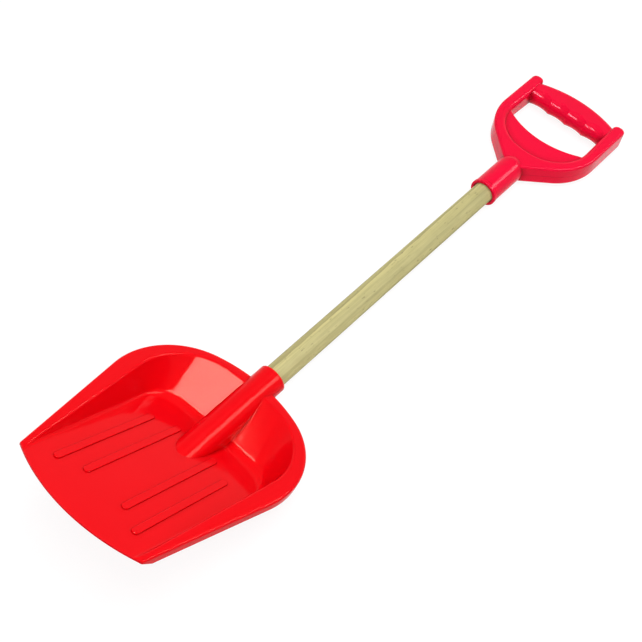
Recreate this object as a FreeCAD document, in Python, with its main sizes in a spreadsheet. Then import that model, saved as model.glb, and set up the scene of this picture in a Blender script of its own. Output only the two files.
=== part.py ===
import FreeCAD, Part
import math
import os
import Sketcher

# Child's shovel: a moulded scoop, a turned wooden shaft and a moulded D-handle.
# Each socket is held on the shaft by one countersunk screw from the back.
# Millimetres and degrees. Each piece is drawn in its own frame and laid down at the end.

V = FreeCAD.Vector
Rule = Sketcher.Constraint

SIZES = (
    # Shaft
    ("shaft_width", 22.0),
    ("shaft_bevel", 1.5),
    ("shaft_in_view", 310.0),
    ("socket_slack", 0.1),
    ("seat_gap", 0.2),
    # Scoop: its floor is level and its origin is where the shaft's centre line meets the floor
    ("blade_lift", 32.6),
    ("shell_wall", 2.6),
    ("collar_wall", 3.05),
    ("collar_reach", 91.3),
    ("collar_round", 2.0),
    ("floor_corner_out", 42.0),
    ("floor_corner_ahead", 3.0),
    ("floor_corner_radius", 26.0),
    ("floor_bow", 1.0),
    ("floor_side_angle", 2.4),
    ("basin_height", 50.0),
    ("top_corner_in", 20.0),
    ("top_corner_grow", 36.0),
    ("top_corner_lead", 5.0),
    ("top_bow", 1.5),
    ("foot_round_side", 3.5),
    ("foot_round_back", 12.0),
    ("heel_round_side", 6.0),
    ("heel_round", 8.0),
    ("rim_rise", 32.0),
    ("rim_angle", 12.55),
    ("rim_corner_in", 18.0),
    ("rim_corner_grow", 43.7),
    ("rim_corner_lead", 8.0),
    ("rim_bow", 4.0),
    ("rim_side_angle", 12.1),
    ("rim_round", 2.2),
    ("rim_inner_round", 2.5),
    ("lip_wall", 2.2),
    ("lip_drop", 7.2),
    ("lip_angle", 12.9),
    ("lip_end_start", 129.0),
    ("lip_end_angle", 16.0),
    ("front_reach", 155.0),
    ("front_radius", 158.0),
    ("front_spare", 15.0),
    ("front_corner_round", 3.0),
    ("edge_bevel", 1.2),
    ("rib_width", 6.5),
    ("rib_height", 1.2),
    ("rib_round", 0.6),
    ("inner_rib_out", 21.5),
    ("inner_rib_ahead", 2.0),
    ("outer_rib_out", 43.5),
    ("outer_rib_ahead", 13.0),
    ("rib_length", 113.0),
    # Handle: its origin is at the collar's mouth, on the shaft's centre line
    ("handle_thick", 23.0),
    ("handle_half", 60.8),
    ("arm_width", 13.8),
    ("arm_reach", 57.5),
    ("arm_tip_round", 5.8),
    ("bow_ahead", 72.5),
    ("shoulder_angle", 40.4),
    ("handle_round", 3.0),
    ("bow_inner_round", 6.5),
    ("recess_depth", 3.0),
    ("gap_behind", 20.2),
    ("gap_radius", 93.0),
    ("gap_round", 1.5),
    ("grip_ahead", 29.6),
    ("grip_depth", 32.3),
    ("grip_top_radius", 130.0),
    ("grip_thick", 21.0),
    ("grip_top_round", 6.0),
    ("finger_width", 22.4),
    ("finger_depth", 3.0),
    ("finger_radius", 45.0),
    ("finger_clear", 0.05),
    ("handle_collar_length", 46.0),
    ("handle_collar_wall", 3.4),
    ("mouth_gap", 1.0),
    ("mouth_depth", 2.5),
    ("bead_rise", 0.6),
    ("bead_length", 4.0),
    ("bead_round", 0.5),
    ("handle_socket_depth", 47.0),
    # Screws
    ("screw_width", 3.5),
    ("screw_core", 2.6),
    ("screw_pitch", 1.4),
    ("screw_length", 14.0),
    ("screw_head", 6.8),
    ("screw_point", 3.0),
    ("screw_slack", 0.1),
    ("screw_sink", 0.5),
    ("screw_plain", 3.6),
    ("screw_from_mouth", 14.0),
    # Cutting blocks reach past what they cut
    ("overrun", 400.0),
)

# Sizes that follow from the ones above
DERIVED = (
    ("bore_radius", "shaft_width / 2 + socket_slack"),
    ("collar_radius", "bore_radius + collar_wall"),
    ("handle_collar_radius", "bore_radius + handle_collar_wall"),
    ("socket_end", "bore_radius / tan(blade_lift * 1 deg)"),
    ("outline_front", "front_reach + front_spare"),
    ("top_corner_out", "floor_corner_out - top_corner_in"),
    ("top_corner_ahead", "floor_corner_ahead + top_corner_lead"),
    ("top_corner_radius", "floor_corner_radius + top_corner_grow"),
    ("rim_corner_out", "floor_corner_out - rim_corner_in"),
    ("rim_corner_ahead", "floor_corner_ahead + rim_corner_lead"),
    ("rim_corner_radius", "floor_corner_radius + rim_corner_grow"),
    ("under_corner_radius", "floor_corner_radius + shell_wall * 0.75"),
    ("outer_corner_radius", "top_corner_radius + shell_wall * 1.15"),
    ("lip_corner_radius", "rim_corner_radius - lip_wall"),
    ("flange_under", "rim_rise - shell_wall"),
    ("lip_under", "rim_rise - lip_drop"),
    ("lip_end_turn", "-lip_end_angle"),
    ("lip_end_level", "lip_under - lip_end_start * (tan(lip_angle * 1 deg) + tan(lip_end_angle * 1 deg))"),
    ("core_radius", "collar_radius - shell_wall"),
    ("handle_inner_half", "handle_half - arm_width"),
    ("bow_centre", "handle_collar_length + bow_ahead"),
    ("arm_tip", "bow_centre + arm_reach"),
    ("gap_low", "bow_centre - gap_behind"),
    ("grip_low", "bow_centre + grip_ahead"),
    ("grip_top", "grip_low + grip_depth"),
    ("grip_middle", "grip_low + grip_thick / 2"),
    ("web_thick", "handle_thick - 2 * recess_depth"),
    ("shaft_front", "socket_end + seat_gap - collar_reach"),
    ("shaft_back", "shaft_in_view + handle_socket_depth - seat_gap"),
)

doc = FreeCAD.newDocument("shovel")
sheet = doc.addObject("Spreadsheet::Sheet", "dims")


def fill_sheet():
    row = 0
    for alias, value in SIZES:
        row += 1
        sheet.set("A%d" % row, alias)
        sheet.set("B%d" % row, str(value))
        sheet.setAlias("B%d" % row, alias)
    for alias, rule in DERIVED:
        row += 1
        sheet.set("A%d" % row, alias)
        sheet.set("B%d" % row, "=" + rule)
        sheet.setAlias("B%d" % row, alias)
    doc.recompute()


def size(alias):
    return float(sheet.get(alias))


def bind(thing, **rules):
    for name, rule in rules.items():
        thing.setExpression(name, rule)


def bind_place(thing, base=(None, None, None), turn=None, axis=None):
    # Place a thing by expressions: a base point and one turn about a fixed axis
    if axis is not None:
        thing.Placement = FreeCAD.Placement(V(), FreeCAD.Rotation(axis, 10))
        thing.setExpression("Placement.Rotation.Angle", turn)
    for letter, rule in zip("xyz", base):
        if rule:
            thing.setExpression("Placement.Base." + letter, rule)


def name_rules(sketch, rules):
    # Each rule: name, constraint, expression
    for name, constraint, rule in rules:
        index = sketch.addConstraint(constraint)
        sketch.renameConstraint(index, name)
        sketch.setExpression("Constraints." + name, rule)


def circle(x, y, radius):
    return Part.Circle(V(x, y, 0), V(0, 0, 1), radius)


def line(start, end):
    return Part.LineSegment(V(start[0], start[1], 0), V(end[0], end[1], 0))


def arc_to(x, y, radius, start, end):
    # Anticlockwise arc about x, y from the direction of one point to that of another
    first = math.atan2(start[1] - y, start[0] - x)
    last = math.atan2(end[1] - y, end[0] - x)
    return Part.ArcOfCircle(circle(x, y, radius), first, last)


def basin_outline(name, out, ahead, radius, bow, angle):
    # Plan outline of the scoop: a bowed back, two round corners, two sides that close in and a straight front
    o, h, r, b = size(out), size(ahead), size(radius), size(bow)
    front = size("outline_front")
    lean = math.radians(size(angle))
    back = r - h + b
    bow_radius = (o * o + (r + b) ** 2 - r * r) / (2 * b)
    bow_centre = back - bow_radius
    share = bow_radius / (bow_radius - r)
    bow_end = (o * share, bow_centre + (-h - bow_centre) * share)
    side_top = (o + r * math.cos(lean), -h - r * math.sin(lean))
    side_low = (side_top[0] - (front + side_top[1]) * math.tan(lean), -front)

    def left(point):
        return (-point[0], point[1])

    sketch = doc.addObject("Sketcher::SketchObject", name)
    sketch.addGeometry([
        line(side_low, side_top),
        arc_to(o, -h, r, side_top, bow_end),
        arc_to(0, bow_centre, bow_radius, bow_end, left(bow_end)),
        arc_to(-o, -h, r, left(bow_end), left(side_top)),
        line(left(side_top), left(side_low)),
        line(left(side_low), side_low),
    ], False)
    sketch.addGeometry(Part.Point(V(0, back, 0)), True)
    sketch.addConstraint([
        Rule("Tangent", 0, 2, 1, 1),
        Rule("Tangent", 1, 2, 2, 1),
        Rule("Tangent", 2, 2, 3, 1),
        Rule("Tangent", 3, 2, 4, 1),
        Rule("Coincident", 4, 2, 5, 1),
        Rule("Coincident", 5, 2, 0, 1),
        Rule("Symmetric", 1, 3, 3, 3, -2),
        Rule("PointOnObject", 2, 3, -2),
        Rule("Symmetric", 5, 1, 5, 2, -2),
        Rule("PointOnObject", 6, 1, -2),
        Rule("PointOnObject", 6, 1, 2),
    ])
    name_rules(sketch, (
        ("corner", Rule("Radius", 1, r), "dims." + radius),
        ("out", Rule("DistanceX", -1, 1, 1, 3, o), "dims." + out),
        ("ahead", Rule("DistanceY", 1, 3, -1, 1, h), "dims." + ahead),
        ("back", Rule("DistanceY", -1, 1, 6, 1, back), "dims.%s - dims.%s + dims.%s" % (radius, ahead, bow)),
        ("side", Rule("Angle", 0, math.pi / 2 - lean), "90 deg - dims.%s * 1 deg" % angle),
        ("front", Rule("DistanceY", 0, 1, -1, 1, front), "dims.outline_front"),
    ))
    return sketch


def stand_up(sketch, name, low, high):
    # Upright solid on a level outline, between two heights given as expressions
    solid = doc.addObject("Part::Extrusion", name)
    solid.Base = sketch
    solid.DirMode = "Custom"
    solid.Dir = V(0, 0, 1)
    solid.Solid = True
    solid.setExpression("LengthFwd", high)
    solid.setExpression("LengthRev", low)
    return solid


def loft(name, sections):
    solid = doc.addObject("Part::Loft", name)
    solid.Sections = sections
    solid.Solid = True
    solid.Ruled = True
    return solid


def join(name, shapes):
    solid = doc.addObject("Part::MultiFuse", name)
    solid.Shapes = shapes
    solid.Refine = True
    return solid


def cut(name, base, tool):
    solid = doc.addObject("Part::Cut", name)
    solid.Base = base
    solid.Tool = tool
    solid.Refine = True
    return solid


def common(name, shapes):
    solid = doc.addObject("Part::MultiCommon", name)
    solid.Shapes = shapes
    solid.Refine = True
    return solid


def slab(name, rise, angle, above):
    # Large block on one side of a plane that rises towards the back
    block = doc.addObject("Part::Box", name)
    bind(block, Length="dims.overrun", Width="dims.overrun", Height="dims.overrun")
    cosine = "cos(dims.%s * 1 deg)" % angle
    sine = "sin(dims.%s * 1 deg)" % angle
    base_y = "-dims.overrun / 2 * " + cosine
    base_z = "dims.%s - dims.overrun / 2 * %s" % (rise, sine)
    if not above:
        base_y += " + dims.overrun * " + sine
        base_z += " - dims.overrun * " + cosine
    bind_place(block, ("-dims.overrun / 2", base_y, base_z), "dims.%s" % angle, V(1, 0, 0))
    return block


def edge_names(shape, wanted):
    return [index + 1 for index, edge in enumerate(shape.Edges) if wanted(edge)]


def middle(edge):
    return edge.valueAt((edge.FirstParameter + edge.LastParameter) / 2)


def ends(edge):
    return [vertex.Point for vertex in edge.Vertexes]


def round_off(name, base, radii):
    # Each entry: edge number, radius at its start, radius at its end
    solid = doc.addObject("Part::Fillet", name)
    solid.Base = base
    solid.Edges = radii
    return solid


def rod(name, radius, start, length, base=(None, None, None), turn=None, axis=None):
    # Cylinder along its own Z; start is an offset along it when it isn't turned
    solid = doc.addObject("Part::Cylinder", name)
    bind(solid, Radius=radius, Height=length)
    if start:
        base = (base[0], base[1], start)
    bind_place(solid, base, turn, axis)
    return solid


def on_axis(distance):
    # Point of the scoop's frame that far up the shaft's centre line, as expressions
    return (None, "(%s) * cos(dims.blade_lift * 1 deg)" % distance,
            "(%s) * sin(dims.blade_lift * 1 deg)" % distance)


def socket_rod(name, radius, start, length):
    # Cylinder along the shaft's centre line in the scoop's frame
    return rod(name, radius, None, length, on_axis(start), "dims.blade_lift - 90", V(1, 0, 0))


def tunnel(name, radius, start, length):
    # Round-topped solid along the shaft's centre line, with straight sides down
    top = socket_rod(name + "_top", radius, start, length)
    sides = doc.addObject("Part::Box", name + "_sides")
    bind(sides, Length="2 * " + radius, Width=length, Height="dims.overrun")
    point = on_axis(start)
    bind_place(
        sides,
        ("-" + radius,
         point[1] + " + dims.overrun * sin(dims.blade_lift * 1 deg)",
         point[2] + " - dims.overrun * cos(dims.blade_lift * 1 deg)"),
        "dims.blade_lift", V(1, 0, 0))
    return join(name, [top, sides])


def basin():
    # Two blocks: the hollow of the scoop and the outside of its walls
    floor_line = basin_outline(
        "floor_line", "floor_corner_out", "floor_corner_ahead", "floor_corner_radius",
        "floor_bow", "floor_side_angle")
    top_line = basin_outline(
        "top_line", "top_corner_out", "top_corner_ahead", "top_corner_radius",
        "top_bow", "floor_side_angle")
    under_line = basin_outline(
        "under_line", "floor_corner_out", "floor_corner_ahead", "under_corner_radius",
        "floor_bow", "floor_side_angle")
    outer_line = basin_outline(
        "outer_line", "top_corner_out", "top_corner_ahead", "outer_corner_radius",
        "top_bow", "floor_side_angle")
    for sketch, height in ((floor_line, None), (under_line, "-dims.shell_wall"),
                           (top_line, "dims.basin_height"), (outer_line, "dims.basin_height")):
        bind_place(sketch, (None, None, height))
    hollow_block = loft("hollow_block", [floor_line, top_line])
    wall_block = loft("wall_block", [under_line, outer_line])
    doc.recompute()
    hollow_radii = foot_radii(hollow_block.Shape, "foot_round_side", "foot_round_back")
    wall_radii = foot_radii(wall_block.Shape, "heel_round_side", "heel_round")
    hollow = round_off("hollow", hollow_block, hollow_radii)
    wall = round_off("wall", wall_block, wall_radii)
    return hollow, wall


def foot_radii(shape, side, back):
    # The foot's rounding goes from the side radius to the back radius round each corner
    side, back = size(side), size(back)
    near = size("lip_wall")
    radii = []
    for index, edge in enumerate(shape.Edges):
        box = edge.BoundBox
        if box.ZMax > shape.BoundBox.ZMin + near or box.YMax < shape.BoundBox.YMin + near:
            continue
        start, end = ends(edge)
        if edge.Length < start.distanceToPoint(end) * 1.0001:
            radii.append((index + 1, side, side))
        elif abs(start.y - end.y) < near:
            radii.append((index + 1, back, back))
        elif start.y < end.y:
            radii.append((index + 1, side, back))
        else:
            radii.append((index + 1, back, side))
    return radii


def rim_blocks():
    # The rim's outline cut off at its plane and rounded, and two blocks that trim the blade in plan
    rim_line = basin_outline(
        "rim_line", "rim_corner_out", "rim_corner_ahead", "rim_corner_radius",
        "rim_bow", "rim_side_angle")
    rim_prism = stand_up(rim_line, "rim_prism", "dims.basin_height", "dims.overrun")
    above_rim = slab("above_rim", "rim_rise", "rim_angle", True)
    rim_sharp = cut("rim_sharp", rim_prism, above_rim)
    plan_prism = stand_up(rim_line, "plan_prism", "dims.overrun", "dims.overrun")
    front = rod("front", "dims.front_radius", "-dims.overrun", "2 * dims.overrun",
                (None, "dims.front_radius - dims.front_reach", None))
    plan_sharp = common("plan_sharp", [plan_prism, front])
    doc.recompute()
    rise = math.tan(math.radians(size("rim_angle")))
    near = size("rim_round") / 100
    outline_front = size("outline_front")

    def on_rim(edge):
        return all(abs(point.z - size("rim_rise") - rise * point.y) < near for point in ends(edge)) and \
            middle(edge).y > size("lip_wall") - outline_front

    rim = round_off("rim", rim_sharp, [
        (index, size("rim_round"), size("rim_round")) for index in edge_names(rim_sharp.Shape, on_rim)])

    def corner(edge):
        return edge.BoundBox.ZLength > size("overrun") and middle(edge).y < -size("front_reach") / 2

    plan_deep = round_off("plan_deep", plan_sharp, [
        (index, size("front_corner_round"), size("front_corner_round"))
        for index in edge_names(plan_sharp.Shape, corner)])
    plan_level = cut("plan_level", plan_deep, block_below("below_plan", "-dims.shell_wall - dims.overrun"))
    doc.recompute()

    def cutting_edge(edge):
        box = edge.BoundBox
        return box.ZMax < near - size("shell_wall") and box.XMin * box.XMax < 0 and \
            middle(edge).y < -size("front_reach") + near

    plan = doc.addObject("Part::Chamfer", "plan")
    plan.Base = plan_level
    plan.Edges = [(index, size("edge_bevel"), size("edge_bevel"))
                  for index in edge_names(plan_level.Shape, cutting_edge)]
    return rim, plan_deep, plan


def blade(hollow, wall):
    # Walls, floor and the flat rim with its turned-down lip, hollowed and rounded at the rim's inner edge
    rim, plan_deep, plan = rim_blocks()
    flange = cut("flange", rim, slab("under_flange", "flange_under", "rim_angle", False))
    lip_line = basin_outline(
        "lip_line", "rim_corner_out", "rim_corner_ahead", "lip_corner_radius",
        "rim_bow", "rim_side_angle")
    lip_prism = stand_up(lip_line, "lip_prism", "dims.overrun", "dims.overrun")
    lip_deep = cut("lip_deep", rim, lip_prism)
    lip_even = cut("lip_even", lip_deep, slab("under_lip", "lip_under", "lip_angle", False))
    lip = cut("lip", lip_even, slab("under_lip_end", "lip_end_level", "lip_end_turn", False))
    full = join("blade_full", [wall, flange])
    well_sharp = cut("well_sharp", slab("below_rim", "rim_rise", "rim_angle", False), hollow)
    doc.recompute()
    rise = math.tan(math.radians(size("rim_angle")))
    near = size("rim_inner_round") / 100

    def inner_edge(edge):
        points = ends(edge) + [middle(edge)]
        return all(abs(point.z - size("rim_rise") - rise * point.y) < near for point in points) and \
            points[-1].z > size("foot_round_side") and abs(points[-1].x) < size("rim_corner_radius") * 2 and \
            edge.BoundBox.XLength < size("rim_corner_radius") * 2

    well_round = round_off("well_round", well_sharp, [
        (index, size("rim_inner_round"), size("rim_inner_round"))
        for index in edge_names(well_sharp.Shape, inner_edge)])
    well = join("well", [well_round, block_below("below_floor_top", "-dims.overrun")])
    trimmed = common("blade_trimmed", [full, plan, well])
    lip_trimmed = common("lip_trimmed", [lip, plan_deep, well])
    return join("blade", [trimmed, lip_trimmed])


def block_below(name, base_z):
    # Large level block; its top lies one overrun above base_z
    block = doc.addObject("Part::Box", name)
    bind(block, Length="dims.overrun", Width="dims.overrun", Height="dims.overrun")
    bind_place(block, ("-dims.overrun / 2", "-dims.overrun / 2", base_z))
    return block


def socket(blade_solid, wall):
    # Collar and the ridge that carries it over the floor, bored for the shaft and cored from below
    under = block_below("below_floor", "-dims.shell_wall - dims.overrun")
    ridge_long = tunnel("ridge_long", "dims.collar_radius", "-dims.collar_reach", "2 * dims.collar_reach")
    ridge = common("ridge", [ridge_long, wall])
    collar_sharp = socket_rod("collar_sharp", "dims.collar_radius", "dims.socket_end - dims.shell_wall",
                              "dims.collar_reach + dims.shell_wall - dims.socket_end")
    doc.recompute()
    mouth = edge_names(collar_sharp.Shape, lambda edge: edge.Closed and middle(edge).z > size("rim_rise"))
    collar_round = round_off("collar_round", collar_sharp, [
        (index, size("collar_round"), size("collar_round")) for index in mouth])
    collar = cut("collar", collar_round, under)
    core = tunnel("core", "dims.core_radius", "-dims.overrun",
                  "dims.overrun + dims.socket_end - dims.shell_wall")
    bore = socket_rod("bore", "dims.bore_radius", "dims.socket_end", "dims.overrun")
    ribs = [rib("inner_rib_right", "dims.inner_rib_out", "dims.inner_rib_ahead"),
            rib("inner_rib_left", "-dims.inner_rib_out", "dims.inner_rib_ahead"),
            rib("outer_rib_right", "dims.outer_rib_out", "dims.outer_rib_ahead"),
            rib("outer_rib_left", "-dims.outer_rib_out", "dims.outer_rib_ahead")]
    solid = join("scoop_solid", [blade_solid, ridge, collar] + ribs)
    cored = cut("scoop_cored", solid, core)
    return cut("scoop_bored", cored, bore)


def rib(name, out, ahead):
    # Low bar on the floor with round ends and a rounded top
    tall = "dims.rib_height + dims.shell_wall / 2"
    low = "-dims.shell_wall / 2"
    bar = doc.addObject("Part::Box", name + "_bar")
    bind(bar, Length="dims.rib_width", Width="dims.rib_length - dims.rib_width", Height=tall)
    bind_place(bar, ("%s - dims.rib_width / 2" % out,
                     "dims.rib_width / 2 - %s - dims.rib_length" % ahead, low))
    back_end = rod(name + "_back", "dims.rib_width / 2", low, tall,
                   (out, "-%s - dims.rib_width / 2" % ahead, None))
    front_end = rod(name + "_front", "dims.rib_width / 2", low, tall,
                    (out, "dims.rib_width / 2 - %s - dims.rib_length" % ahead, None))
    sharp = join(name + "_sharp", [bar, back_end, front_end])
    doc.recompute()
    top = edge_names(sharp.Shape, lambda edge: edge.BoundBox.ZMin > size("rib_height") / 2)
    return round_off(name, sharp, [(index, size("rib_round"), size("rib_round")) for index in top])


def screw(name, slack=None):
    # Countersunk screw, head face at the origin and point up; with slack, the hole for it and its driver
    def cone(part, start, low, high, length):
        solid = doc.addObject("Part::Cone", name + part)
        bind(solid, Radius1=low, Radius2=high, Height=length)
        bind_place(solid, (None, None, start))
        return solid

    spare = " + " + slack if slack else ""
    head = "dims.screw_head / 2" + spare
    shank = "dims.screw_width / 2" + spare
    core = "dims.screw_core / 2" + spare
    turns = int((size("screw_length") - size("screw_point") - size("screw_plain")) / size("screw_pitch"))
    parts = [
        cone("_head", None, head, shank, "(dims.screw_head - dims.screw_width) / 2"),
        rod(name + "_shank", shank, None, "dims.screw_plain"),
        rod(name + "_core", core, None, "dims.screw_length - dims.screw_point"),
        cone("_point", "dims.screw_length - dims.screw_point", core, slack or "0",
             "dims.screw_point" + spare),
    ]
    for turn in range(turns):
        start = "dims.screw_plain + %d * dims.screw_pitch" % turn
        half = "dims.screw_pitch / 2"
        parts.append(cone("_rise%d" % turn, start, core, shank, half))
        parts.append(cone("_fall%d" % turn, start + " + " + half, shank, core, half))
    if slack:
        parts.append(rod(name + "_way", head, "-dims.screw_head", "dims.screw_head"))
    return join(name, parts)


def scoop():
    hollow, wall = basin()
    bored = socket(blade(hollow, wall), wall)
    hole = screw("scoop_screw_hole", "dims.screw_slack")
    seat = "(dims.collar_radius - dims.screw_sink)"
    point = on_axis("dims.collar_reach - dims.screw_from_mouth")
    bind_place(
        hole,
        (None, point[1] + " + %s * sin(dims.blade_lift * 1 deg)" % seat,
         point[2] + " - %s * cos(dims.blade_lift * 1 deg)" % seat),
        "dims.blade_lift", V(1, 0, 0))
    return cut("scoop", bored, hole)


def shaft():
    # Turned stick with bevelled ends and a pilot hole for each screw
    stick = rod("stick", "dims.shaft_width / 2", None, "dims.shaft_back - dims.shaft_front",
                (None, "dims.shaft_front", None), "-90", V(1, 0, 0))
    doc.recompute()
    bevelled = doc.addObject("Part::Chamfer", "bevelled")
    bevelled.Base = stick
    bevelled.Edges = [(index, size("shaft_bevel"), size("shaft_bevel"))
                      for index in edge_names(stick.Shape, lambda edge: edge.Closed)]
    holes = [screw("shaft_front_hole", "dims.screw_slack"), screw("shaft_back_hole", "dims.screw_slack")]
    bind_place(holes[0], (None, "-dims.screw_from_mouth", "dims.screw_sink - dims.collar_radius"))
    bind_place(holes[1], (None, "dims.shaft_in_view + dims.screw_from_mouth",
                          "dims.screw_sink - dims.handle_collar_radius"))
    return cut("shaft", bevelled, join("shaft_holes", holes))


def half_solid(sketch, name, thick):
    # Solid on one half of the handle's outline, with the handle's middle plane in its middle
    solid = doc.addObject("Part::Extrusion", name)
    solid.Base = sketch
    solid.DirMode = "Custom"
    solid.Dir = V(0, 0, 1)
    solid.Solid = True
    solid.Symmetric = True
    solid.setExpression("LengthFwd", thick)
    return solid


def both_halves(name, half):
    other_half = doc.addObject("Part::Mirroring", name + "_other_half")
    other_half.Source = half
    other_half.Normal = V(1, 0, 0)
    return join(name, [half, other_half])


def hoop_outline():
    # Right half of the handle's hoop: shoulder, round side, arm with its round end and round inner side
    radius, centre, lean = size("handle_half"), size("bow_centre"), math.radians(size("shoulder_angle"))
    tip, tip_round, inner = size("arm_tip"), size("arm_tip_round"), size("handle_inner_half")
    apex = (0, centre - radius / math.cos(lean))
    shoulder = (radius * math.sin(lean), centre - radius * math.cos(lean))
    sketch = doc.addObject("Sketcher::SketchObject", "hoop_outline")
    sketch.addGeometry([
        line(apex, shoulder),
        arc_to(0, centre, radius, shoulder, (radius, centre)),
        line((radius, centre), (radius, tip - tip_round)),
        arc_to(radius - tip_round, tip - tip_round, tip_round,
               (radius, tip - tip_round), (radius - tip_round, tip)),
        line((radius - tip_round, tip), (inner + tip_round, tip)),
        arc_to(inner + tip_round, tip - tip_round, tip_round,
               (inner + tip_round, tip), (inner, tip - tip_round)),
        line((inner, tip - tip_round), (inner, centre)),
        arc_to(0, centre, inner, (0, centre - inner), (inner, centre)),
        line((0, centre - inner), apex),
    ], False)
    sketch.addConstraint([
        Rule("Tangent", 0, 2, 1, 1),
        Rule("Tangent", 1, 2, 2, 1),
        Rule("Tangent", 2, 2, 3, 1),
        Rule("Tangent", 3, 2, 4, 1),
        Rule("Tangent", 4, 2, 5, 1),
        Rule("Tangent", 5, 2, 6, 1),
        Rule("Tangent", 6, 2, 7, 2),
        Rule("Coincident", 7, 1, 8, 1),
        Rule("Coincident", 8, 2, 0, 1),
        Rule("Coincident", 7, 3, 1, 3),
        Rule("PointOnObject", 0, 1, -2),
        Rule("PointOnObject", 7, 1, -2),
        Rule("PointOnObject", 1, 3, -2),
        Rule("Vertical", 2),
        Rule("Horizontal", 4),
        Rule("Equal", 3, 5),
    ])
    name_rules(sketch, (
        ("half", Rule("Radius", 1, radius), "dims.handle_half"),
        ("centre", Rule("DistanceY", -1, 1, 1, 3, centre), "dims.bow_centre"),
        ("shoulder", Rule("Angle", 0, lean), "dims.shoulder_angle * 1 deg"),
        ("tip_round", Rule("Radius", 3, tip_round), "dims.arm_tip_round"),
        ("tip", Rule("DistanceY", -1, 1, 4, 1, tip), "dims.arm_tip"),
        ("inner", Rule("Radius", 7, inner), "dims.handle_inner_half"),
    ))
    return sketch


def hoop():
    # The D's hoop, rounded along all its long edges, and more at the inner side of its bow
    half_sharp = half_solid(hoop_outline(), "hoop_half_sharp", "dims.handle_thick")
    doc.recompute()
    face = size("handle_thick") / 2
    near = size("handle_round") / 100

    def long_edge(edge):
        return edge.BoundBox.ZLength < near and abs(abs(middle(edge).z) - face) < near and \
            edge.BoundBox.XMax > near

    bow_low = size("bow_centre") - size("handle_inner_half")
    radii = []
    for index in edge_names(half_sharp.Shape, long_edge):
        edge = half_sharp.Shape.Edges[index - 1]
        start, end = ends(edge)
        low_end = V(0, bow_low, middle(edge).z)
        at_start = "bow_inner_round" if start.distanceToPoint(low_end) < near else "handle_round"
        at_end = "bow_inner_round" if end.distanceToPoint(low_end) < near else "handle_round"
        radii.append((index, size(at_start), size(at_end)))
    half = round_off("hoop_half", half_sharp, radii)
    return both_halves("hoop", half)


def web():
    # Thinner crescent between the hoop and the finger gap, recessed on both faces
    blank = rod("web_blank", "dims.handle_inner_half + dims.arm_width / 2", "-dims.web_thick / 2",
                "dims.web_thick", (None, "dims.bow_centre", None))
    gap = rod("web_gap", "dims.gap_radius", "-dims.web_thick", "2 * dims.web_thick",
              (None, "dims.gap_low + dims.gap_radius", None))
    sharp = cut("web_sharp", blank, gap)
    doc.recompute()
    crossing = size("gap_low") + size("gap_radius")
    near = size("gap_round") / 100

    def gap_edge(edge):
        point = middle(edge)
        return edge.BoundBox.ZLength < near and \
            abs(math.hypot(point.x, point.y - crossing) - size("gap_radius")) < near

    return round_off("web", sharp, [
        (index, size("gap_round"), size("gap_round")) for index in edge_names(sharp.Shape, gap_edge)])


def grip():
    # Cross bar with a half-round inner side, a bowed outer side and four shallow finger hollows round it
    reach = "dims.handle_inner_half + dims.arm_width / 2"
    nose = rod("grip_nose", "dims.grip_thick / 2", None, "2 * (%s)" % reach,
               ("-(%s)" % reach, "dims.grip_middle", None), "90", V(0, 1, 0))
    bar = doc.addObject("Part::Box", "grip_bar")
    bind(bar, Length="2 * (%s)" % reach, Width="dims.overrun", Height="dims.grip_thick")
    bind_place(bar, ("-(%s)" % reach, "dims.grip_middle", "-dims.grip_thick / 2"))
    top = rod("grip_top_side", "dims.grip_top_radius", "-dims.overrun / 2", "dims.overrun",
              (None, "dims.grip_top - dims.grip_top_radius", None))
    sharp = common("grip_sharp", [bar, top])
    doc.recompute()
    face = size("grip_thick") / 2
    near = size("grip_top_round") / 100

    def top_edge(edge):
        point = middle(edge)
        return abs(abs(point.z) - face) < near and abs(point.x) < near and \
            point.y > size("grip_middle") + near

    blunt = round_off("grip_blunt", sharp, [
        (index, size("grip_top_round"), size("grip_top_round"))
        for index in edge_names(sharp.Shape, top_edge)])
    solid = join("grip_plain", [nose, blunt])
    hollows = []
    fingers = 4
    for finger in range(fingers):
        hollow = doc.addObject("Part::Torus", "finger%d" % finger)
        bind(hollow, Radius1="dims.grip_thick / 2 + dims.finger_clear + dims.finger_radius",
             Radius2="dims.finger_radius")
        hollow.Angle3 = 180
        turn = FreeCAD.Rotation(V(0, 1, 0), 90)
        hollow.Placement = FreeCAD.Placement(V(), FreeCAD.Rotation(V(1, 0, 0), 180).multiply(turn))
        bind_place(hollow, ("(%d - %d / 2) * dims.finger_width" % (finger, fingers - 1),
                            "dims.grip_middle + dims.finger_depth + dims.finger_clear", None))
        hollows.append(hollow)
    for finger, hollow in enumerate(hollows):
        solid = cut("grip_hollowed%d" % finger, solid, hollow)
    return solid


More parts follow.
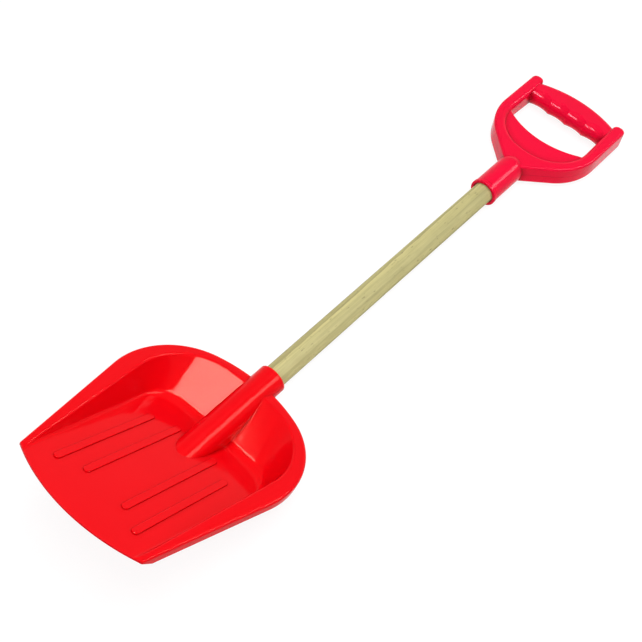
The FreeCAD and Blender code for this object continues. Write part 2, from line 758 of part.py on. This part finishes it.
def handle():
    quarter = "-90"
    collar = rod("handle_collar", "dims.handle_collar_radius", None, "dims.handle_collar_length",
                 (None, None, None), quarter, V(1, 0, 0))
    dome = doc.addObject("Part::Sphere", "handle_dome")
    bind(dome, Radius="dims.handle_collar_radius")
    bind_place(dome, (None, "dims.handle_collar_length", None))
    bead_sharp = rod("bead_sharp", "dims.handle_collar_radius + dims.bead_rise", None, "dims.bead_length",
                     (None, None, None), quarter, V(1, 0, 0))
    doc.recompute()
    bead = round_off("bead", bead_sharp, [
        (index, size("bead_round"), size("bead_round"))
        for index in edge_names(bead_sharp.Shape, lambda edge: edge.Closed)])
    solid = join("handle_solid", [hoop(), web(), grip(), collar, dome, bead])
    bore = rod("handle_bore", "dims.bore_radius", None, "dims.handle_socket_depth + dims.overrun",
               (None, "-dims.overrun", None), quarter, V(1, 0, 0))
    mouth = rod("handle_mouth", "dims.bore_radius + dims.mouth_gap", None, "dims.mouth_depth + dims.overrun",
                (None, "-dims.overrun", None), quarter, V(1, 0, 0))
    hole = screw("handle_screw_hole", "dims.screw_slack")
    bind_place(hole, (None, "dims.screw_from_mouth", "dims.screw_sink - dims.handle_collar_radius"))
    bored = cut("handle_bored", cut("handle_mouth_cut", solid, mouth), bore)
    return cut("handle", bored, hole)


def turned(angle, base=V()):
    # Placement with one turn about X, in degrees
    return FreeCAD.Placement(base, FreeCAD.Rotation(V(1, 0, 0), angle))


def lowest(shape, place):
    moved = shape.copy()
    moved.Placement = place.multiply(shape.Placement)
    return moved.optimalBoundingBox(False).ZMin


def rest_tilt(pieces):
    # Turn about X at which scoop and handle touch the same level, by the secant rule from two small turns
    steps = 2

    def step_down(tilt):
        scoop_low, handle_low = [lowest(piece, turned(-tilt)) for piece in pieces]
        return scoop_low - handle_low

    before, tilt = 0, math.degrees(size("bead_rise") / size("shaft_in_view"))
    down_before, down = step_down(before), step_down(tilt)
    for _ in range(steps):
        before, tilt = tilt, tilt - down * (tilt - before) / (down - down_before)
        down_before, down = down, step_down(tilt)
    print("touches the level at both ends to %.6f mm" % abs(down))
    return tilt


def lay_down(nodes):
    # Put every piece on the shaft's line, then rest the shovel on the level with its middle over the origin
    scoop_place = turned(-size("blade_lift"), V(0, -size("collar_reach"), 0))
    handle_place = turned(0, V(0, size("shaft_in_view"), 0))
    places = {
        "scoop": scoop_place,
        "shaft": turned(0),
        "handle": handle_place,
        "scoop_screw": turned(0, V(0, -size("screw_from_mouth"), size("screw_sink") - size("collar_radius"))),
        "handle_screw": turned(0, V(0, size("shaft_in_view") + size("screw_from_mouth"),
                                    size("screw_sink") - size("handle_collar_radius"))),
    }
    for name, place in places.items():
        nodes[name].Placement = place
    doc.recompute()
    tilt = rest_tilt([nodes["scoop"].Shape, nodes["handle"].Shape])
    boxes = []
    for name in places:
        nodes[name].Placement = turned(-tilt).multiply(places[name])
    doc.recompute()
    for name in places:
        boxes.append(nodes[name].Shape.optimalBoundingBox(False))
    middle_y = (min(box.YMin for box in boxes) + max(box.YMax for box in boxes)) / 2
    floor_z = min(box.ZMin for box in boxes)
    for name in places:
        place = nodes[name].Placement
        nodes[name].Placement = FreeCAD.Placement(place.Base - V(0, middle_y, floor_z), place.Rotation)
    doc.recompute()
    print("tilt %.4f degrees, shaft origin at %s" % (tilt, nodes["shaft"].Placement.Base))


def check(nodes):
    for thing in doc.Objects:
        if "Invalid" in thing.State or "Error" in thing.State:
            raise RuntimeError("%s: %s" % (thing.Name, thing.State))
    for name, node in nodes.items():
        shape = node.Shape
        if not shape.isValid() or len(shape.Solids) != 1:
            raise RuntimeError("%s isn't one valid solid" % name)
        box = shape.optimalBoundingBox(False)
        print("%-13s %9.1f mm3  x %.1f %.1f  y %.1f %.1f  z %.2f %.2f" % (
            name, shape.Volume, box.XMin, box.XMax, box.YMin, box.YMax, box.ZMin, box.ZMax))


fill_sheet()
pieces = {
    "scoop": scoop(),
    "shaft": shaft(),
    "handle": handle(),
    "scoop_screw": screw("scoop_screw"),
    "handle_screw": screw("handle_screw"),
}
lay_down(pieces)
check(pieces)
os.makedirs("parts", exist_ok=True)
for node_name, piece in pieces.items():
    piece.Label = node_name
    piece.Shape.exportStep("parts/%s.step" % node_name)
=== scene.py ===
import math
import bpy
from mathutils import Matrix, Vector


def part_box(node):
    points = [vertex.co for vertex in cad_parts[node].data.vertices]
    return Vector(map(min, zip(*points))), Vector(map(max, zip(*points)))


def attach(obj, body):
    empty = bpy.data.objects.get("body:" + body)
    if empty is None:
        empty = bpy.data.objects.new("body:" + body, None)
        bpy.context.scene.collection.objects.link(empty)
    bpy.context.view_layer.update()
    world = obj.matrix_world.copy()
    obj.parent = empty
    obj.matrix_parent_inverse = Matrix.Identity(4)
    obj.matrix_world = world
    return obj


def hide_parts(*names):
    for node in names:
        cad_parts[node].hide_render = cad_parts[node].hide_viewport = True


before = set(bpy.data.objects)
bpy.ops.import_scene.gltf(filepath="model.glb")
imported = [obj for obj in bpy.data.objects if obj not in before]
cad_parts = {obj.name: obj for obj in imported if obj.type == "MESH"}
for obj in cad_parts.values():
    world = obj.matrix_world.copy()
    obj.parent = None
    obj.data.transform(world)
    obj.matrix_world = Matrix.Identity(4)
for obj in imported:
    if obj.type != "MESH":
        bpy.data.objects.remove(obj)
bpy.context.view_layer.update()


sampling = {
    "rays": 8,  # cast from each spot to find creases and edges
    "noiseMiddle": 0.5,
}


# Shader maths: a socket wrapped so that plain arithmetic adds Math nodes
class Wire:
    def __init__(self, shop, socket):
        self.shop = shop
        self.socket = socket

    def __add__(self, other):
        return self.shop.mathNode("ADD", self, other)

    def __radd__(self, other):
        return self.shop.mathNode("ADD", other, self)

    def __sub__(self, other):
        return self.shop.mathNode("SUBTRACT", self, other)

    def __rsub__(self, other):
        return self.shop.mathNode("SUBTRACT", other, self)

    def __mul__(self, other):
        return self.shop.mathNode("MULTIPLY", self, other)

    def __rmul__(self, other):
        return self.shop.mathNode("MULTIPLY", other, self)

    def clamped(self):
        return self.shop.mathNode("ADD", self, 0.0, clamp=True)


class NodeShop:
    def __init__(self, owner):
        owner.use_nodes = True
        self.tree = owner.node_tree
        self.tree.nodes.clear()

    def node(self, kind, settings=None, values=None, output=0):
        made = self.tree.nodes.new(kind)
        for key, value in (settings or {}).items():
            setattr(made, key, value)
        for key, value in (values or {}).items():
            if isinstance(value, Wire):
                self.tree.links.new(value.socket, made.inputs[key])
            else:
                made.inputs[key].default_value = value
        return Wire(self, made.outputs[output]) if made.outputs else None

    def mathNode(self, operation, first, second=0.0, clamp=False):
        return self.node("ShaderNodeMath", {"operation": operation, "use_clamp": clamp},
                         {0: first, 1: second})

    def mixColours(self, factor, first, second):
        return self.node("ShaderNodeMix", {"data_type": "RGBA"},
                         {0: factor, 6: first, 7: second}, output=2)

    def objectPlace(self):
        return self.node("ShaderNodeTexCoord", output="Object")

    def noise(self, place, scale, detail, roughness, distortion=0.0):
        return self.node("ShaderNodeTexNoise", {"noise_dimensions": "3D"}, {
            "Vector": place, "Scale": scale, "Detail": detail, "Roughness": roughness,
            "Distortion": distortion})

    def stretched(self, place, scale):
        return self.node("ShaderNodeMapping", values={"Vector": place, "Scale": scale})

    def bump(self, height, strength, distance):
        return self.node("ShaderNodeBump", values={
            "Strength": strength, "Distance": distance, "Height": height})

    def occlusion(self, reach, inside=False):
        return self.node("ShaderNodeAmbientOcclusion",
                         {"samples": sampling["rays"], "inside": inside, "only_local": True},
                         {"Distance": reach}, output="AO")


def newMaterial(name, draw, *values):
    material = bpy.data.materials.new(name)
    shop = NodeShop(material)
    shop.node("ShaderNodeOutputMaterial", values={"Surface": draw(shop, *values)})
    return material


# Moulded plastic: a faint cloud, painted shade darkening creases and hollows, edges rubbed paler
# and duller
scoopFinish = {
    "colour": (0.87, 0.0020, 0.0075, 1),
    "deepColour": (0.83, 0.0014, 0.0058, 1),
    # painted shade: dark red drawn into creases; the same colour draws the parting seam
    "shadeAndSeamColour": (0.42, 0.0006, 0.0014, 1),
    "creaseShadeReach": 0.0040,
    "creaseShadeStart": 0.93,
    "creaseShadeDepth": 2.2,
    # painted shade: darker red drawn over wide hollows such as the bowl's walls
    "hollowShadeColour": (0.55, 0.0006, 0.0022, 1),
    "hollowShadeReach": 0.060,
    "hollowShadeDepth": 1.1,
    "edgeColour": (0.95, 0.014, 0.020, 1),
    "roughness": 0.085,
    "roughnessSpread": 0.03,
    "specular": 0.12,
    "specularTint": (1.0, 0.37, 0.30, 1),
    "rippleDepth": 0.02,
    "partingLevel": None,
}
handleFinish = {
    "colour": (0.90, 0.0032, 0.042, 1),
    "deepColour": (0.86, 0.0024, 0.036, 1),
    "shadeAndSeamColour": (0.40, 0.0008, 0.012, 1),
    "creaseShadeReach": 0.0085,
    # painted shade: dark red drawn into creases; the same colour draws the parting seam
    "creaseShadeStart": 0.975,
    "creaseShadeDepth": 4.6,
    # painted shade: darker red drawn over wide hollows such as the bowl's walls
    "hollowShadeColour": (0.66, 0.0012, 0.020, 1),
    "hollowShadeReach": 0.018,
    "hollowShadeDepth": 0.8,
    "edgeColour": (0.95, 0.016, 0.070, 1),
    "roughness": 0.145,
    "roughnessSpread": 0.04,
    "specular": 0.12,
    "specularTint": (1.0, 0.37, 0.44, 1),
    "rippleDepth": 0.04,
    "partingLevel": 0.01504,  # where the mould's two halves met, over the floor
}
plasticTexture = {
    # each noise: scale, detail, roughness
    "cloud": (14.0, 3.0, 0.5),
    "cloudStart": 0.25,
    "cloudGain": 1.6,
    "rubbed": (60.0, 4.0, 0.6),
    "rubbedGain": 1.4,
    "ripple": (420.0, 2.0, 0.5),
    "rippleHeight": 0.0004,
    # occlusion level below which the painted hollow shade begins
    "hollowShadeStart": 0.97,
    "edgeReach": 0.0011,
    "edgeShare": 0.5,
    "edgeRoughness": 0.10,
    "partingSharpness": 2600.0,
    "partingShare": 0.55,
    "partingHeight": 9.0,
}


def mouldedPlastic(shop, finish):
    texture = plasticTexture
    place = shop.objectPlace()
    cloud = shop.noise(place, *texture["cloud"])
    rubbed = shop.noise(place, *texture["rubbed"])
    height = shop.noise(place, *texture["ripple"])
    # painted shade in creases, found by ambient occlusion
    creaseShadeAmount = finish["creaseShadeStart"] - shop.occlusion(finish["creaseShadeReach"])
    # painted shade over wide hollows, found by ambient occlusion
    hollowShadeAmount = texture["hollowShadeStart"] - shop.occlusion(finish["hollowShadeReach"])
    creaseShadeMask = (creaseShadeAmount * finish["creaseShadeDepth"]).clamped()
    hollowShadeMask = (hollowShadeAmount * finish["hollowShadeDepth"]).clamped()
    edge = 1.0 - shop.occlusion(texture["edgeReach"], inside=True)
    worn = (edge * (rubbed * texture["rubbedGain"])).clamped()
    cloudy = (cloud - texture["cloudStart"]) * texture["cloudGain"]
    colour = shop.mixColours(cloudy.clamped(), finish["colour"], finish["deepColour"])
    # painted hollow shade
    colour = shop.mixColours(hollowShadeMask, colour, finish["hollowShadeColour"])
    colour = shop.mixColours(texture["edgeShare"] * worn, colour, finish["edgeColour"])
    # painted crease shade
    colour = shop.mixColours(creaseShadeMask, colour, finish["shadeAndSeamColour"])
    if finish["partingLevel"]:
        level = shop.node("ShaderNodeSeparateXYZ", values={"Vector": place}, output="Z")
        away = shop.mathNode("ABSOLUTE", level - finish["partingLevel"])
        parting = (1.0 - away * texture["partingSharpness"]).clamped()
        # the parting seam is drawn in the crease shade's dark red
        colour = shop.mixColours(texture["partingShare"] * parting, colour, finish["shadeAndSeamColour"])
        height = height - parting * texture["partingHeight"]
    return shop.node("ShaderNodeBsdfPrincipled", values={
        "Base Color": colour,
        "Roughness": (finish["roughness"] + worn * texture["edgeRoughness"]
                      + (rubbed - sampling["noiseMiddle"]) * finish["roughnessSpread"]),
        "Specular IOR Level": finish["specular"],
        "Specular Tint": finish["specularTint"],
        "Normal": shop.bump(height, finish["rippleDepth"], texture["rippleHeight"])})


# Turned pine: fibres, grain, flecks and year rings, all drawn out along the stick
pineFinish = {
    "pale": (0.63, 0.57, 0.258, 1),
    "dark": (0.35, 0.315, 0.132, 1),
    "fleck": (0.24, 0.20, 0.085, 1),
    "roughness": 0.62,
    "roughnessSpread": 0.2,
    "specular": 0.10,
    # each noise: scale, detail, roughness and, for the grain, how far it wanders
    "grainNoise": (1.0, 4.0, 0.6, 0.4),
    "grainStretch": (160.0, 4.0, 160.0),
    "grainStart": 0.42,
    "grainGain": 4.0,
    "grainShare": 0.42,
    "fibreNoise": (1.0, 3.0, 0.6),
    "fibreStretch": (700.0, 22.0, 700.0),
    "fibreStart": 0.35,
    "fibreShare": 0.8,
    "fleckNoise": (1.0, 2.0, 0.5),
    "fleckStretch": (560.0, 150.0, 560.0),
    "fleckStart": 0.645,
    "fleckGain": 9.0,
    "fleckShare": 0.8,
    "ringPlace": (0.021, 0.0, 0.017),
    "ringSlant": (0.018, 0.0, 0.024),
    "ringScale": 62.0,
    "ringWander": 1.6,
    "ringDetail": 2.0,
    "ringDetailScale": 0.6,
    "ringDetailRoughness": 0.5,
    "ringStart": 0.22,
    "ringShare": 0.8,
    "reliefStrength": 0.25,
    "relief": 0.0003,
}


def turnedPine(shop, finish):
    place = shop.objectPlace()
    grain, fibre, fleck = [
        shop.noise(shop.stretched(place, finish[part + "Stretch"]), *finish[part + "Noise"])
        for part in ("grain", "fibre", "fleck")]
    # Year rings cut at a slant, so that they run out along the stick in long flames
    slanted = shop.node("ShaderNodeMapping", values={
        "Vector": place, "Location": finish["ringPlace"], "Rotation": finish["ringSlant"]})
    ring = shop.node("ShaderNodeTexWave", {
        "wave_type": "RINGS", "rings_direction": "Y", "wave_profile": "SAW"}, {
        "Vector": slanted, "Scale": finish["ringScale"], "Distortion": finish["ringWander"],
        "Detail": finish["ringDetail"], "Detail Scale": finish["ringDetailScale"],
        "Detail Roughness": finish["ringDetailRoughness"]}, output="Fac")
    grainy = ((grain - finish["grainStart"]) * finish["grainGain"]).clamped()
    streak = ((ring - finish["ringStart"]) * finish["ringShare"] + grainy * finish["grainShare"]
              + (fibre - finish["fibreStart"]) * finish["fibreShare"])
    flecked = ((fleck - finish["fleckStart"]) * finish["fleckGain"]).clamped()
    wood = shop.mixColours(streak.clamped(), finish["pale"], finish["dark"])
    wood = shop.mixColours(flecked * finish["fleckShare"], wood, finish["fleck"])
    return shop.node("ShaderNodeBsdfPrincipled", values={
        "Base Color": wood,
        "Roughness": (finish["roughness"]
                      + (fibre - sampling["noiseMiddle"]) * finish["roughnessSpread"]),
        "Specular IOR Level": finish["specular"],
        "Normal": shop.bump(fibre + grain, finish["reliefStrength"], finish["relief"])})


# Zinc-plated steel, bright with duller spots
steelFinish = {
    "bright": (0.62, 0.62, 0.64, 1),
    "dull": (0.50, 0.50, 0.53, 1),
    "spots": (900.0, 3.0, 0.6),
    "roughness": 0.28,
    "roughnessSpread": 0.14,
}


def zincSteel(shop, finish):
    spots = shop.noise(shop.objectPlace(), *finish["spots"])
    return shop.node("ShaderNodeBsdfPrincipled", values={
        "Base Color": shop.mixColours(spots, finish["bright"], finish["dull"]),
        "Metallic": 1.0,
        "Roughness": finish["roughness"] + spots * finish["roughnessSpread"]})


def dress(nodeName, material):
    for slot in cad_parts[nodeName].material_slots:
        slot.material = material


dress("scoop", newMaterial("scoopRed", mouldedPlastic, scoopFinish))
dress("handle", newMaterial("handleRed", mouldedPlastic, handleFinish))
dress("shaft", newMaterial("turnedPine", turnedPine, pineFinish))
print("materials on")


# Countersunk wood screws with a cross recess, one in the back of each collar
screwShape = {
    "headRadius": 0.0034,
    "headEdge": 0.0003,
    "headDepth": 0.00165,
    "shankRadius": 0.00172,
    "coreRadius": 0.0013,
    "plainLength": 0.0036,
    "pointStart": 0.0110,
    "length": 0.0139,
    "sides": 48,
    "pitch": 0.0014,
    "ridgeShare": 0.46,  # the ridge's size as a share of the pitch
    "threadTurns": 5,
    "stepsPerTurn": 24,
    "recessLength": 0.0019,
    "recessWidth": 0.00038,
    "recessDepth": 0.0016,
    "recessTaper": (0.35, 0.7, 1),
    "smoothDegrees": 32,
}


def pickOnly(*pieces):
    # Selects these pieces alone and makes the last one active
    bpy.ops.object.select_all(action="DESELECT")
    for piece in pieces:
        piece.select_set(True)
        bpy.context.view_layer.objects.active = piece


def startPiece(name):
    piece = bpy.context.object
    piece.name = name
    bpy.ops.object.mode_set(mode="EDIT")
    bpy.ops.mesh.select_mode(type="VERT")
    bpy.ops.mesh.select_all(action="SELECT")
    return piece


def selectWhere(piece, test):
    # Chosen in object mode by place, then handed back to edit mode
    bpy.ops.mesh.select_all(action="DESELECT")
    bpy.ops.object.mode_set(mode="OBJECT")
    for vertex in piece.data.vertices:
        vertex.select = test(vertex.co)
    bpy.ops.object.mode_set(mode="EDIT")


def closePiece(sides):
    # Closes the holes of up to this many sides (0 for any), turns the faces outward
    bpy.ops.mesh.select_all(action="SELECT")
    bpy.ops.mesh.fill_holes(sides=sides)
    bpy.ops.mesh.normals_make_consistent(inside=False)
    bpy.ops.object.mode_set(mode="OBJECT")


def applyModifier(piece, kind, **settings):
    pickOnly(piece)
    modifier = piece.modifiers.new(kind.title(), kind)
    for key, value in settings.items():
        setattr(modifier, key, value)
    bpy.ops.object.modifier_apply(modifier=modifier.name)


def turnedShank():
    shape = screwShape
    edge = shape["headEdge"]
    radius, level = shape["headRadius"] - edge / 2, 0.0
    bpy.ops.object.select_all(action="DESELECT")
    bpy.ops.mesh.primitive_circle_add(vertices=shape["sides"], radius=radius, fill_type="NGON",
                                      location=(0, 0, 0))
    shank = startPiece("shank")
    for nextRadius, nextLevel in (
            (shape["headRadius"], edge / 2),
            (shape["headRadius"], edge),
            (shape["shankRadius"], shape["headDepth"]),
            (shape["shankRadius"], shape["plainLength"]),
            (shape["coreRadius"], shape["plainLength"] + edge),
            (shape["coreRadius"], shape["pointStart"]),
            (edge / 3, shape["length"])):
        bpy.ops.mesh.extrude_region_move(
            TRANSFORM_OT_translate={"value": (0, 0, nextLevel - level)})
        bpy.ops.transform.resize(value=(nextRadius / radius, nextRadius / radius, 1),
                                 center_override=(0, 0, nextLevel))
        radius, level = nextRadius, nextLevel
    closePiece(sides=0)
    return shank


def threadRidge():
    # A three-sided ring wound up the core, its ends closed
    shape = screwShape
    ridgeSize = shape["pitch"] * shape["ridgeShare"]
    pointOut = Matrix.Rotation(math.pi / 2, 3, "X") @ Matrix.Rotation(-math.pi / 2, 3, "Z")
    bpy.ops.object.select_all(action="DESELECT")
    bpy.ops.mesh.primitive_circle_add(
        vertices=3, radius=ridgeSize, fill_type="NOTHING", rotation=pointOut.to_euler(),
        location=(shape["shankRadius"] - ridgeSize, 0, shape["plainLength"] + shape["pitch"] / 2))
    bpy.ops.object.transform_apply(location=True, rotation=True, scale=True)
    ridge = bpy.context.object
    applyModifier(ridge, "SCREW", axis="Z", screw_offset=shape["pitch"],
                  iterations=shape["threadTurns"], steps=shape["stepsPerTurn"],
                  render_steps=shape["stepsPerTurn"])
    startPiece("ridge")
    closePiece(sides=3)
    return ridge


def recessArm(length, width):
    # One arm of the cross recess: a block narrowing into the head
    shape = screwShape
    bpy.ops.object.select_all(action="DESELECT")
    bpy.ops.mesh.primitive_cube_add(size=1, location=(0, 0, 0))
    arm = startPiece("recessArm")
    bpy.ops.transform.resize(value=(length * 2, width * 2, shape["recessDepth"] * 2),
                             center_override=(0, 0, 0))
    selectWhere(arm, lambda place: place.z > 0)
    bpy.ops.transform.resize(value=shape["recessTaper"], center_override=(0, 0, 0))
    bpy.ops.object.mode_set(mode="OBJECT")
    return arm


def woodScrew(material):
    shape = screwShape
    screw = turnedShank()
    ridge = threadRidge()
    arms = [recessArm(shape["recessLength"], shape["recessWidth"]),
            recessArm(shape["recessWidth"], shape["recessLength"])]
    applyModifier(screw, "BOOLEAN", object=ridge, solver="EXACT", operation="UNION")
    for arm in arms:
        applyModifier(screw, "BOOLEAN", object=arm, solver="EXACT", operation="DIFFERENCE")
    pickOnly(ridge, *arms)
    bpy.ops.object.delete()
    pickOnly(screw)
    bpy.ops.object.shade_smooth_by_angle(angle=math.radians(shape["smoothDegrees"]))
    screw.data.materials.clear()
    screw.data.materials.append(material)
    return screw


def seatScrew(screw, name, nodeName):
    # The screw goes where its CAD node is, its place kept in its mesh
    low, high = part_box(nodeName)
    pickOnly(screw)
    screw.name = name
    middle = ((low[0] + high[0]) / 2, (low[1] + high[1]) / 2, low[2])
    bpy.ops.transform.translate(value=middle)
    bpy.ops.object.transform_apply(location=True, rotation=True, scale=True)
    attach(screw, "root")
    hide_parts(nodeName)


firstScrew = woodScrew(newMaterial("zincSteel", zincSteel, steelFinish))
pickOnly(firstScrew)
bpy.ops.object.duplicate()
secondScrew = bpy.context.object
seatScrew(firstScrew, "scoopScrew", "scoop_screw")
seatScrew(secondScrew, "handleScrew", "handle_screw")
print("screws made")


# Camera where the photograph was taken from
viewpoint = {
    "place": (0.28764, -0.48011, 0.78019),
    "turnDegrees": (33.6982, -4.6404, 42.2700),
    "lens": 56.075,
    "sensor": 36.0,
    "nearest": 0.01,
}


def addCamera():
    bpy.ops.object.camera_add(location=viewpoint["place"],
                              rotation=[math.radians(angle) for angle in viewpoint["turnDegrees"]])
    camera = bpy.context.object
    camera.name = "photoCamera"
    camera.data.lens = viewpoint["lens"]
    camera.data.sensor_width = viewpoint["sensor"]
    camera.data.clip_start = viewpoint["nearest"]
    bpy.context.scene.camera = camera


studio = {
    "floorSize": 8.0,
    "floorLevel": -0.0004,
    "floorColour": (0.86, 0.86, 0.86, 1),
    "floorGlow": 0.90,
    "shadowColour": (0.15, 0.15, 0.15, 1),
    "white": (1, 1, 1, 1),
    "worldStrength": 0.34,
    # Soft lamps light the surfaces; gloss lamps only show as reflections in them
    "lamps": (
        # name, place, aimed at, width, height, power in watts
        ("softLampTop", (0.08, 0.05, 1.60), (0.08, 0.051, 0.0), 1.1, 1.3, 19.5),
        ("softLampFront", (0.10, -1.05, 1.30), (0.0, -0.1, 0.03), 1.0, 0.9, 2.0),
        ("softLampRight", (1.05, 0.55, 1.0), (0.0, 0.0, 0.03), 1.0, 0.8, 2.5),
        ("glossLampFront", (0.36, -0.925, 1.15), (0.36, -0.924, 0.0), 1.66, 0.65, 200.0),
        ("glossLampSide", (0.64, 0.60, 0.80), (0.0, 0.60, 0.03), 1.3, 0.42, 32.0),
    ),
}


def seenPlainly(shop):
    # 1 for what the camera sees, straight, in a glossy surface or through a clear one
    camera, glossy, clear = [
        shop.node("ShaderNodeLightPath", output=kind)
        for kind in ("Is Camera Ray", "Is Glossy Ray", "Is Transmission Ray")]
    return shop.mathNode("MAXIMUM", shop.mathNode("MAXIMUM", camera, glossy), clear)


def paleFloor(shop):
    # Plain white where it is seen, but for the soft shadow; a pale lit surface for the light
    lit = shop.node("ShaderNodeBsdfDiffuse", values={"Color": studio["floorColour"]})
    glow = shop.node("ShaderNodeEmission", values={
        "Color": studio["white"], "Strength": studio["floorGlow"]})
    shade = shop.node("ShaderNodeBsdfDiffuse", values={"Color": studio["shadowColour"]})
    white = shop.node("ShaderNodeAddShader", values={0: glow, 1: shade})
    return shop.node("ShaderNodeMixShader", values={0: seenPlainly(shop), 1: lit, 2: white})


def addFloor():
    bpy.ops.object.select_all(action="DESELECT")
    bpy.ops.mesh.primitive_plane_add(size=studio["floorSize"],
                                     location=(0, 0, studio["floorLevel"]))
    floor = bpy.context.object
    floor.name = "floor"
    floor.data.materials.append(newMaterial("paleFloor", paleFloor))


def addLamps():
    for name, place, aim, width, height, power in studio["lamps"]:
        bpy.ops.object.light_add(type="AREA", location=place)
        lamp = bpy.context.object
        lamp.name = name
        lamp.data.shape = "RECTANGLE"
        lamp.data.size = width
        lamp.data.size_y = height
        lamp.data.energy = power
        lamp.rotation_euler = (Vector(aim) - Vector(place)).to_track_quat("-Z", "Y").to_euler()
        lamp.visible_glossy = name.startswith("gloss")
        lamp.visible_diffuse = name.startswith("soft")


def addWorld():
    world = bpy.data.worlds.new("studioWorld")
    bpy.context.scene.world = world
    shop = NodeShop(world)
    strength = seenPlainly(shop) * (1.0 - studio["worldStrength"]) + studio["worldStrength"]
    shop.node("ShaderNodeOutputWorld", values={"Surface": shop.node(
        "ShaderNodeBackground", values={"Color": studio["white"], "Strength": strength})})
    bpy.context.scene.view_settings.view_transform = "Standard"


addCamera()
addFloor()
addLamps()
addWorld()
print("camera and studio set")
